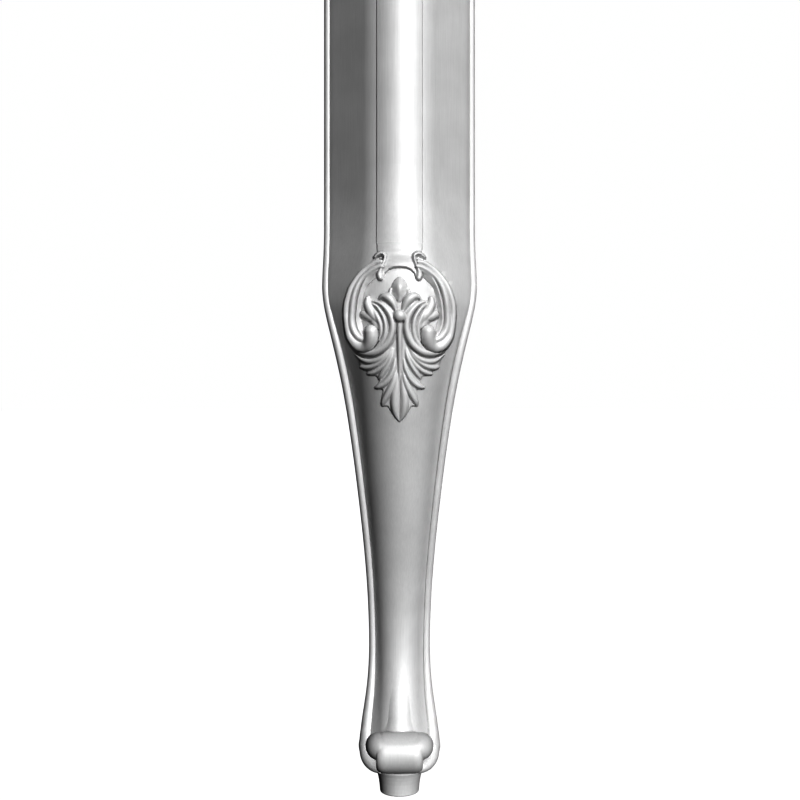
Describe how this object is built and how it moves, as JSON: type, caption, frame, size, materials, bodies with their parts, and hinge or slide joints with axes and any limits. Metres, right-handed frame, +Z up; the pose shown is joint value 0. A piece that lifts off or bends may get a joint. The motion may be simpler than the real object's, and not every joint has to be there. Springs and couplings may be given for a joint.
{
  "type": "furniture leg",
  "caption": "Carved wooden cabriole table leg with a square post, beaded corners, a scroll and acanthus cartouche on the knee, a scroll toe and a small round pad.",
  "frame": {"origin": "centre of the round pad's underside, on the floor", "axes": "+Z up the leg to the flat top of the post. The post's faces lie along X and Y: the show faces look to +X and -Y and meet at the front corner, and the rails fix to the -X and +Y faces"},
  "size_m": [0.1178, 0.1178, 0.72],
  "materials": {
    "primed_wood": "satin pale grey primer over close-grained hardwood"
  },
  "bodies": {
    "root": {"leg": "primed_wood"}
  },
  "joints": []
}
